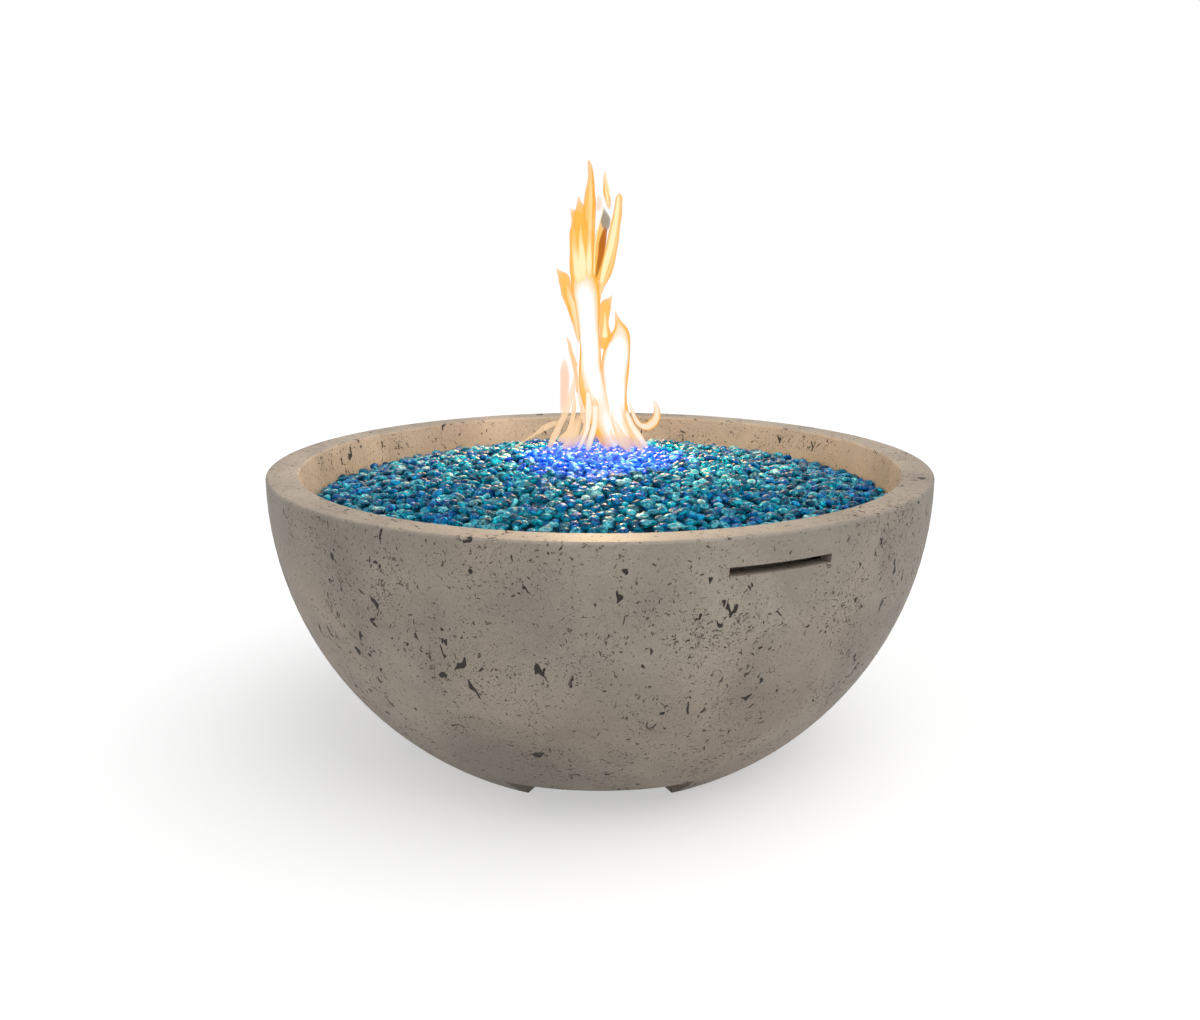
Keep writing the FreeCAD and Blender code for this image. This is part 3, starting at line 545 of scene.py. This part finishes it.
# The flame's bodies of gas: points of x, height over the rim and half width, in millimetres, from the
# tip down. The last two values are the body's place in depth, at its tip and at its foot.
tongues = {
    "spike": ([(-13, 362, 1.5), (-12, 356, 2.8), (-11, 349, 3.3), (-11, 337, 4.5), (-12, 325, 6.3),
               (-12, 316, 7.3), (-13, 306, 8.2), (-14, 292, 8.5), (-14, 278, 8.1), (-15, 263, 8.1),
               (-16, 244, 8.2), (-17, 225, 5.6), (-18, 205, 2.8), (-18, 190, 0.6)], 0, 0),
    "main": ([(-35, 307, 1.1), (-32, 303, 3.9), (-28, 298, 7.6), (-24, 291, 11.9), (-22, 281, 14.9),
              (-22, 268, 14.9), (-22, 254, 14.8), (-22, 239, 15.2), (-20, 229, 16.2), (-18, 215, 17.2),
              (-16, 200, 16.4), (-15, 185, 15.0), (-14, 170, 13.5), (-13, 155, 12.6), (-12, 140, 12.9),
              (-12, 125, 13.6), (-12, 110, 14.6), (-10, 95, 16.2), (-5, 75, 17.2), (-1, 59, 16.5),
              (5, 44, 16.2), (10, 28, 15.3)], 4, 0),
    "spike_inner": ([(-25, 322, 0.5), (-25, 317, 2.0), (-24, 309, 4.9), (-24, 297, 7.1),
                     (-23, 282, 8.6)], -6, -2),
    "second": ([(6, 351, 0.5), (6, 344, 1.9), (7, 335, 3.0), (8, 325, 3.8), (10, 316, 3.3),
                (11, 307, 1.3)], 6, 10),
    "branch": ([(23, 326, 0.9), (23, 322, 3.4), (22, 313, 4.5), (21, 301, 5.4), (18, 287, 6.1),
                (16, 273, 7.0), (13, 258, 7.5), (10, 244, 7.8), (6, 229, 6.8), (2, 217, 4.2),
                (-1, 205, 2.7), (-2, 193, 2.2)], -8, 0),
    "left_lick": ([(-52, 238, 0.7), (-49, 233, 3.0), (-44, 227, 6.7), (-42, 219, 6.8), (-40, 207, 6.5),
                   (-36, 195, 5.5), (-33, 183, 4.4), (-30, 170, 3.4), (-28, 159, 2.5),
                   (-26, 148, 1.4)], -16, -6),
    "right_lick": ([(15, 204, 0.7), (12, 199, 3.0), (8, 194, 6.5), (6, 183, 6.5), (5, 170, 5.7),
                    (6, 160, 6.5), (7, 150, 7.3), (8, 138, 6.8)], 16, 6),
    "bulge": ([(19, 186, 0.6), (20, 180, 2.0), (23, 170, 5.1), (25, 163, 9.3), (25, 155, 12.5),
               (23, 145, 14.8), (20, 130, 17.1), (19, 115, 17.4), (18, 95, 16.4), (18, 80, 15.7),
               (19, 65, 15.7), (22, 49, 16.3), (27, 35, 15.5), (32, 27, 14.8)], 8, 12),
    "between": ([(3, 297, 0.5), (2, 290, 3.0), (1, 280, 5.6), (0, 268, 7.0), (-2, 254, 7.8),
                 (-4, 240, 8.6), (-7, 222, 8.6)], 14, 12),
    "nick": ([(10, 168, 0.6), (12, 160, 2.0), (15, 153, 4.0), (17, 145, 5.3)], 2, 4),
    "curl": ([(67, 76, 0.5), (70, 68, 2.6), (72, 59, 4.2), (71, 50, 5.4), (67, 43, 6.0), (60, 38, 5.6),
              (52, 40, 3.8), (46, 47, 3.3), (42, 56, 2.5), (39, 65, 1.8), (37, 75, 0.5)], 0, -4),
    "low_lick": ([(-41, 153, 0.9), (-38, 145, 2.0), (-36, 135, 2.5), (-33, 125, 3.0), (-31, 113, 2.6),
                  (-29, 98, 2.0), (-29, 82, 2.0)], 10, 16),
}
cores = {
    "core_main": ([(-24, 292, 0.5), (-23, 276, 1.8), (-22, 260, 3.6), (-21, 246, 6.2), (-21, 236, 8.8),
                   (-20, 226, 11.6), (-18, 210, 14.2), (-16, 195, 13.6), (-15, 180, 12.6), (-14, 165, 11.6),
                   (-13, 150, 11.5), (-12, 135, 11.6), (-12, 120, 12.1), (-10, 105, 12.6), (-7, 90, 13.1),
                   (-2, 75, 12.4), (2, 59, 12.2), (7, 44, 12.5), (11, 32, 11.5)], 4, 0),
    "core_bulge": ([(23, 169, 1.5), (25, 161, 6.5), (24, 150, 11.3), (21, 135, 14.8), (19, 120, 15.6),
                    (18, 105, 15.1), (18, 90, 14.5), (18, 75, 14.1), (19, 59, 13.6), (22, 44, 13.4),
                    (27, 32, 12.2)], 8, 12),
}
pale = {
    "pale_left": ([(-31, 300, 0.5), (-31, 287, 1.5), (-31, 268, 3.2), (-28, 249, 5.8),
                   (-25, 229, 6.8), (-23, 212, 4.4), (-21, 196, 0.6)], 4, 2),
    "pale_spike": ([(-11, 342, 0.7), (-11, 325, 2.0), (-11, 309, 2.4), (-12, 287, 2.9), (-13, 268, 3.3),
                    (-14, 244, 4.6), (-14, 229, 4.4), (-14, 212, 2.6), (-14, 196, 0.5)], 0, 0),
    "pale_inner": ([(-23, 290, 0.5), (-23, 273, 2.2), (-22, 258, 3.9), (-21, 239, 5.0), (-20, 222, 3.4),
                    (-19, 205, 0.6)], -6, -3),
    "pale_branch": ([(22, 321, 1.3), (21, 309, 2.3), (19, 294, 2.8), (16, 278, 3.4), (13, 263, 3.8),
                     (9, 249, 4.0), (5, 234, 3.5), (1, 218, 2.1)], -10, -2),
    "pale_second": ([(6, 334, 0.6), (8, 324, 1.5), (10, 313, 1.1)], 6, 9),
    "pale_line": ([(4, 308, 0.6), (1, 297, 0.7), (-3, 282, 0.7), (-6, 263, 0.7), (-7, 244, 0.7),
                   (-7, 229, 0.7)], -14, -8),
    "pale_right": ([(6, 183, 1.0), (6, 168, 2.0), (6, 153, 3.8)], 10, 6),
}
veils = {
    "veil": ([(-44, 123, 3.8), (-44, 113, 5.9), (-44, 95, 6.2), (-45, 80, 5.8), (-47, 65, 4.1),
              (-49, 56, 2.0)], 4, 8),
    "veil_gap": ([(-1, 320, 2.9), (-1, 313, 4.0), (-2, 305, 3.2)], 4, 4),
    "hole": ([(0, 135, 0.6), (3, 125, 1.5), (4, 113, 2.1), (6, 100, 2.8), (6, 88, 1.1)], -22, -22),
}
smoke = {
    "smoke": ([(4, 309, 0.7), (5, 303, 3.4), (6, 296, 6.1), (7, 288, 5.0), (7, 280, 1.2)], -10, -10),
}
streaks = {
    "streak": ([(6, 282, 2.9), (3, 268, 4.3), (1, 254, 3.6), (-2, 239, 2.6), (-5, 226, 1.0)], -14, -14),
}
strands = {
    "base_left": ([(-52, 45, 1.0), (-59, 42, 3.1), (-66, 39, 3.6), (-74, 34, 3.3), (-81, 29, 2.0)], 0, -12),
    "strand_long": ([(-29, 122, 1.4), (-31, 105, 1.9), (-34, 90, 2.7), (-38, 75, 3.3), (-43, 59, 3.7),
                     (-50, 44, 3.8), (-57, 28, 4.3)], 0, -14),
    "strand_cross": ([(-31, 123, 1.0), (-29, 105, 1.6), (-27, 90, 1.9), (-25, 75, 2.0), (-22, 59, 2.7),
                      (-19, 41, 4.3)], -6, 6),
    "strand_middle": ([(-32, 86, 0.8), (-32, 75, 1.9), (-33, 65, 2.5), (-34, 54, 2.8), (-36, 44, 2.8),
                       (-40, 28, 3.6)], -6, 12),
    "strand_short": ([(-28, 56, 0.6), (-30, 47, 2.3), (-32, 39, 3.3), (-37, 28, 4.1)], -10, -22),
    "strand_front": ([(-15, 89, 2.5), (-14, 75, 4.1), (-14, 62, 4.7), (-15, 49, 3.6), (-17, 36, 3.3),
                      (-20, 28, 2.8)], -18, -30),
    "strand_right": ([(-6, 72, 4.3), (-6, 59, 4.1), (-7, 44, 4.1), (-11, 28, 4.1)], -20, -34),
    "strand_root": ([(32, 59, 2.9), (37, 47, 3.6), (42, 36, 4.1), (47, 28, 4.8)], 4, -8),
}


def flame_line(points, tip_depth, foot_depth, steps):
    """A smooth line through a tongue's points: places in metres, and the half width at each."""
    points = np.array(points, float)
    if points[-1, 1] < foot_reach:
        run, fall = points[-1, :2] - points[-2, :2]
        drop = foot_height - points[-1, 1]
        foot = (points[-1, 0] + run / fall * drop, foot_height, points[-1, 2] * foot_narrowing)
        points = np.vstack([points, foot])
    runs = np.linalg.norm(np.diff(points[:, :2], axis=0), axis=1)
    lengths = np.concatenate([[0], np.cumsum(runs)])
    spots = np.linspace(0, lengths[-1], steps)
    columns = [smooth_curve(lengths, points[:, column], spots) for column in range(3)]
    share = spots / lengths[-1]
    low = np.clip(1 - columns[1] / root_bend, 0, None)
    depth = tip_depth + (foot_depth - tip_depth) * share + root_back * low**2
    line = np.stack([columns[0], depth, columns[1] + rim_height * 1000], axis=1) / 1000
    return line, np.maximum(columns[2], thin_width) / 1000


def smooth_curve(places, values, spots):
    """A smooth cubic curve through values at places, read at spots."""
    slopes = np.gradient(values, places)
    index = np.clip(np.searchsorted(places, spots) - 1, 0, len(places) - 2)
    span = places[index + 1] - places[index]
    t = (spots - places[index]) / span
    rise = 2 * t**3 - 3 * t**2
    start = (t**3 - 2 * t**2 + t) * span * slopes[index]
    end = (t**3 - t**2) * span * slopes[index + 1]
    return (rise + 1) * values[index] + start - rise * values[index + 1] + end


def tongue_tube(line, widths, sides, depth_share):
    """The corners and faces of a closed tapering tube along a line."""
    steps = len(line)
    along = np.gradient(line, axis=0)
    along /= np.linalg.norm(along, axis=1)[:, None]
    deep = np.array([0, 1.0, 0]) - along * along[:, 1:2]
    deep /= np.linalg.norm(deep, axis=1)[:, None]
    across = np.cross(along, deep)
    angles = np.linspace(0, 2 * math.pi, sides, endpoint=False)
    rings = (
        line[:, None]
        + across[:, None] * (np.cos(angles)[None, :, None] * widths[:, None, None])
        + deep[:, None] * (np.sin(angles)[None, :, None] * widths[:, None, None] * depth_share)
    )
    ends = [line[0] - along[0] * widths[0] * 2, line[-1] + along[-1] * widths[-1]]
    corners = np.concatenate([rings.reshape(-1, 3), ends])
    tip = steps * sides
    foot = tip + 1
    final = (steps - 1) * sides
    faces = []
    for side in range(sides):
        after = (side + 1) % sides
        faces.append((tip, side, after))
        faces.append((foot, final + after, final + side))
        for base in range(0, final, sides):
            faces.append((base + side, base + sides + side, base + sides + after, base + after))
    return corners, faces


def tongue(name, entry, material, skin=0.0, inset=0.0, depth_share=1.0, steps=56, sides=20):
    """A tapering body of gas along a line, made thinner by inset. With a skin, only its outside is gas."""
    line, widths = flame_line(*entry, steps)
    widths[-3:] *= (0.9, 0.65, 0.25)
    widths = np.maximum(widths - inset, widths * 0.7)
    corners, faces = tongue_tube(line, widths, sides, depth_share)
    if skin:
        inside = slice(1, -1)
        inner_widths = np.maximum(widths - skin, widths * 0.3)
        inner, inner_faces = tongue_tube(line[inside], inner_widths[inside], sides, depth_share)
        base = len(corners)
        corners = np.concatenate([corners, inner])
        faces += [tuple(base + corner for corner in reversed(face)) for face in inner_faces]
    as_gas(new_mesh(name, corners.tolist(), faces, material))


def add_filaments(name, entry, material, count, rng):
    """Thin bright threads of gas that wave along a stretch inside a tongue."""
    line, widths = flame_line(*entry, steps=60)
    for number in range(count):
        stretch = slice(rng.integers(2, 22), rng.integers(34, 58))
        path = line[stretch].copy()
        along = np.linspace(0, 1, len(path))
        aside = rng.uniform(-0.7, 0.7) + rng.uniform(0.1, 0.3) * np.sin(along * 5 + rng.uniform(0, 6))
        back = rng.uniform(-0.7, 0.7)
        path[:, 0] += np.clip(aside, -0.8, 0.8) * widths[stretch]
        path[:, 1] += back * widths[stretch] * 0.8
        taper = np.sqrt(np.sin(math.pi * (0.02 + 0.96 * along)))
        girth = rng.uniform(0.0009, 0.0022) * taper
        corners, faces = tongue_tube(path, girth, sides=8, depth_share=1.0)
        as_gas(new_mesh(f"{name}_thread_{number}", corners.tolist(), faces, material))


def as_gas(piece):
    """Gas: seen by eye and in the glass, and without a shadow."""
    piece.visible_shadow = False
    piece.visible_diffuse = False


def glow_sheet(name, radius, thickness, lift, material, rings=14, sides=64):
    """A thin closed sheet of gas that hugs the heap of glass, lift above it."""
    angles = np.linspace(0, 2 * math.pi, sides, endpoint=False)
    corners = []
    for side in (1, -1):
        for ring in range(1, rings + 1):
            share = ring / rings
            reach = radius * share
            half = thickness / 2 * math.sqrt(max(1 - share**2, 0.0004))
            height = bed_height(reach) + lift + side * half
            corners += [(reach * math.cos(a), reach * math.sin(a), height) for a in angles]
    upper = len(corners)
    corners += [(0, 0, bed_crown + lift + thickness / 2), (0, 0, bed_crown + lift - thickness / 2)]
    faces = []
    lower_start = rings * sides
    for side in range(sides):
        after = (side + 1) % sides
        faces.append((upper, side, after))
        faces.append((upper + 1, lower_start + after, lower_start + side))
        for ring in range(rings - 1):
            top = ring * sides
            under = lower_start + top
            faces.append((top + side, top + sides + side, top + sides + after, top + after))
            faces.append((under + side, under + after, under + sides + after, under + sides + side))
        outer = (rings - 1) * sides
        faces.append((outer + side, lower_start + outer + side, lower_start + outer + after, outer + after))
    as_gas(new_mesh(name, corners, faces, material))


def add_flame():
    """The flame: golden tongues with thin orange edges, white cores, pale strands and a blue foot."""
    edge = gas("gas_edge", srgb(255, 166, 66), 460.0)
    gold = gas("gas_gold", srgb(255, 200, 88), 200.0)
    white = gas("gas_white", (1.1, 1.1, 1.04, 1.0), 3000.0)
    pale_gold = gas("gas_pale_gold", srgb(255, 246, 194), 900.0)
    thread = gas("gas_thread", srgb(255, 248, 206), 1200.0)
    amber = gas("gas_amber", srgb(255, 180, 78), 900.0)
    peach = gas("gas_peach", srgb(255, 206, 146), 1700.0)
    cream = gas("gas_cream", srgb(255, 226, 196), 150.0)
    violet = gas("gas_violet", srgb(150, 150, 255), 4.0)
    rosy = gas("gas_rosy", srgb(250, 200, 158), 110.0)
    brown = gas("gas_brown", srgb(190, 108, 36), 500.0)
    smoky = gas("gas_smoky", srgb(164, 150, 130), 300.0)
    blue = gas("gas_blue", srgb(0, 84, 255), 6.0)
    rng = np.random.default_rng(seed_flame)
    for name, entry in tongues.items():
        tongue(f"{name}_edge", entry, edge, flame_skin)
        tongue(name, entry, gold, inset=flame_skin / 2)
    for name, count in (("main", 12), ("spike", 6), ("branch", 4), ("left_lick", 3), ("second", 2)):
        add_filaments(f"{name}_pale", tongues[name], thread, count, rng)
        add_filaments(f"{name}_warm", tongues[name], amber, count // 2, rng)
    for name, entry in cores.items():
        tongue(name, entry, white, depth_share=core_depth)
    for name, entry in pale.items():
        tongue(name, entry, pale_gold, depth_share=pale_depth)
    for name, entry in {**strands, **random_wisps(rng)}.items():
        tongue(f"{name}_edge", entry, peach, strand_skin)
        tongue(name, entry, cream, inset=strand_skin / 2)
    for name in ("strand_root", "strand_right", "strand_front"):
        tongue(f"{name}_core", strands[name], white, inset=0.0011)
    tongue("curl_core", tongues["curl"], white, inset=0.0016)
    for entries, material in ((veils, rosy), (smoke, smoky), (streaks, brown)):
        for name, entry in entries.items():
            tongue(name, entry, material)
    glow_sheet("violet_foot", glow_radius * 0.7, 0.026, 0.012, violet)
    glow_sheet("blue_foot", glow_radius, 0.016, 0.004, blue)


def random_wisps(rng):
    """Small strands round the flame's foot that lean towards its middle."""
    entries = {}
    for number in range(wisps):
        foot = rng.uniform(-64, 52)
        depth = rng.uniform(-46, 40)
        height = rng.uniform(34, 78)
        bow = rng.uniform(-5, 5)
        girth = rng.uniform(2.0, 4.4)
        points = []
        for share in (0, 0.25, 0.5, 0.75, 1):
            lean = (foot * 0.45 + 4) * share**1.5 + bow * math.sin(math.pi * share)
            fall = (12 - height) * share
            points.append((foot * 0.55 - 4 + lean, height + fall, 0.4 + girth * share**0.8))
        entries[f"wisp_{number}"] = (points, depth * 0.5, depth)
    return entries


def add_lamps():
    """Two wide soft lights like an overcast sky, and the flame's own light."""
    add_sun("key_light", key_strength, from_upright=28.0, turn=55.0, softness=60.0)
    add_sun("front_light", front_strength, from_upright=62.0, turn=-20.0, softness=80.0)
    for number, height in enumerate(flame_lamp_heights):
        place = (0.0, 0.0, rim_height + height)
        add_point(f"flame_lamp_{number}", place, flame_lamp_radius, flame_power, flame_colour)
    for number in range(foot_lamps):
        angle = 2 * math.pi * number / foot_lamps
        x = foot_ring_radius * math.cos(angle)
        y = foot_ring_radius * math.sin(angle)
        place = (x, y, bed_crown + foot_lamp_lift)
        add_point(f"foot_lamp_{number}", place, foot_lamp_radius, foot_power, foot_colour)


def add_sun(name, strength, from_upright, turn, softness):
    """A light from the sky: from_upright and turn give its side, as degrees from +Z and from -Y."""
    lamp = bpy.data.lights.new(name, "SUN")
    lamp.angle = math.radians(softness)
    lamp.energy = strength
    holder = bpy.data.objects.new(name, lamp)
    holder.rotation_euler = (math.radians(from_upright), 0.0, math.radians(turn))
    bpy.context.scene.collection.objects.link(holder)


def add_point(name, place, radius, power, colour):
    """A round lamp that the camera doesn't see."""
    lamp = bpy.data.lights.new(name, "POINT")
    lamp.shadow_soft_size = radius
    lamp.energy = power
    lamp.color = colour
    holder = bpy.data.objects.new(name, lamp)
    holder.location = place
    holder.visible_camera = False
    bpy.context.scene.collection.objects.link(holder)


def seen_by_eye(tree):
    """1 for a ray that shows the backdrop: straight, mirrored or through glass."""
    path = tree.nodes.new("ShaderNodeLightPath")
    share = path.outputs["Is Camera Ray"]
    for name in ("Is Glossy Ray", "Is Transmission Ray"):
        either = tree.nodes.new("ShaderNodeMath")
        either.operation = "MAXIMUM"
        tree.links.new(share, either.inputs[0])
        tree.links.new(path.outputs[name], either.inputs[1])
        share = either.outputs[0]
    return share


def add_world():
    """A white backdrop to the eye, and a softer light on the object."""
    world = bpy.data.worlds.new("studio")
    bpy.context.scene.world = world
    world.use_nodes = True
    tree = world.node_tree
    tree.nodes.clear()
    light = tree.nodes.new("ShaderNodeBackground")
    light.inputs["Strength"].default_value = sky_strength
    backdrop = tree.nodes.new("ShaderNodeBackground")
    backdrop.inputs["Strength"].default_value = 1.0
    for background in (light, backdrop):
        background.inputs["Color"].default_value = (1, 1, 1, 1)
    choice = tree.nodes.new("ShaderNodeMixShader")
    output = tree.nodes.new("ShaderNodeOutputWorld")
    tree.links.new(seen_by_eye(tree), choice.inputs[0])
    tree.links.new(light.outputs[0], choice.inputs[1])
    tree.links.new(backdrop.outputs[0], choice.inputs[2])
    tree.links.new(choice.outputs[0], output.inputs["Surface"])


def add_floor(half_side=30.0):
    """A pale floor that is white where nothing shades it."""
    shader = Shader("studio_floor")
    mottle = shader.range(shader.noise(0.8, 2.0), 0.3, 0.7)
    colour = shader.mix(mottle, (0.61, 0.61, 0.61, 1), (0.63, 0.63, 0.63, 1))
    matte = shader.add("ShaderNodeBsdfDiffuse", {"Color": colour})
    lift = shader.math("MULTIPLY", seen_by_eye(shader.tree), floor_lift)
    glow = shader.add("ShaderNodeEmission", {"Color": (1, 1, 1, 1), "Strength": lift})
    both = shader.add("ShaderNodeAddShader", {0: matte.outputs[0], 1: glow.outputs[0]})
    shader.plug(shader.output.inputs["Surface"], both.outputs[0])
    turns = ((-1, -1), (1, -1), (1, 1), (-1, 1))
    corners = [(x * half_side, y * half_side, bowl_low.z) for x, y in turns]
    new_mesh("floor", corners, [(0, 1, 2, 3)], shader.material)


def add_camera():
    """The camera of the photograph: in front, above the rim, looking a little down."""
    data = bpy.data.cameras.new("camera")
    data.lens = camera_lens_mm
    data.sensor_width = camera_sensor_mm
    camera = bpy.data.objects.new("camera", data)
    camera.location = (0.0, -camera_distance, rim_height + camera_above_rim)
    camera.rotation_euler = (math.radians(90 - camera_down_degrees), 0.0, 0.0)
    bpy.context.scene.collection.objects.link(camera)
    bpy.context.scene.camera = camera


def dress_frame():
    """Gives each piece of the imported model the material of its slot."""
    brushed = (60.0, 60.0, 1.0)
    metals = {
        "stainless_sheet": ("rolled_steel", srgb(205, 203, 198), srgb(150, 147, 141), 0.32, 6.0, brushed),
        "stainless_tube": ("heated_tube", srgb(178, 164, 146), srgb(104, 92, 84), 0.36, 40.0),
        "plated_steel": ("zinc_plate", srgb(206, 208, 210), srgb(158, 160, 163), 0.34, 260.0),
        "shutter_steel": ("shutter_steel", srgb(196, 195, 192), srgb(140, 139, 136), 0.3, 9.0, brushed),
        "ball_chrome": ("turned_chrome", srgb(226, 227, 229), srgb(200, 201, 204), 0.16, 80.0),
    }
    finishes = {slot: metal(*look) for slot, look in metals.items()}
    finishes["cast_brass"] = metal("cast_brass", srgb(214, 178, 108), srgb(160, 124, 66), 0.38, 300.0,
                                   depth=0.0002)
    finishes["polished_chrome"] = metal("polished_chrome", srgb(230, 231, 233), srgb(206, 207, 210), 0.10,
                                        50.0, depth=0.00002)
    finishes["seat_plastic"] = metal("seat_plastic", srgb(238, 238, 234), srgb(220, 220, 214), 0.5, 120.0,
                                     metallic=0.0)
    finishes["concrete"] = concrete()
    finishes["flex_hose"] = braided()
    finishes["glass_pebbles"] = packed_glass()
    for part in frame["record"]["subparts"]:
        mesh = frame["nodes"][part["node"]].data
        mesh.materials.clear()
        mesh.materials.append(finishes[part["material_slot"]])


dress_frame()
add_pebbles()
add_flame()
add_floor()
add_lamps()
add_world()
add_camera()
bpy.context.scene.view_settings.view_transform = "Standard"
bpy.context.scene.cycles.transparent_max_bounces = gas_layers
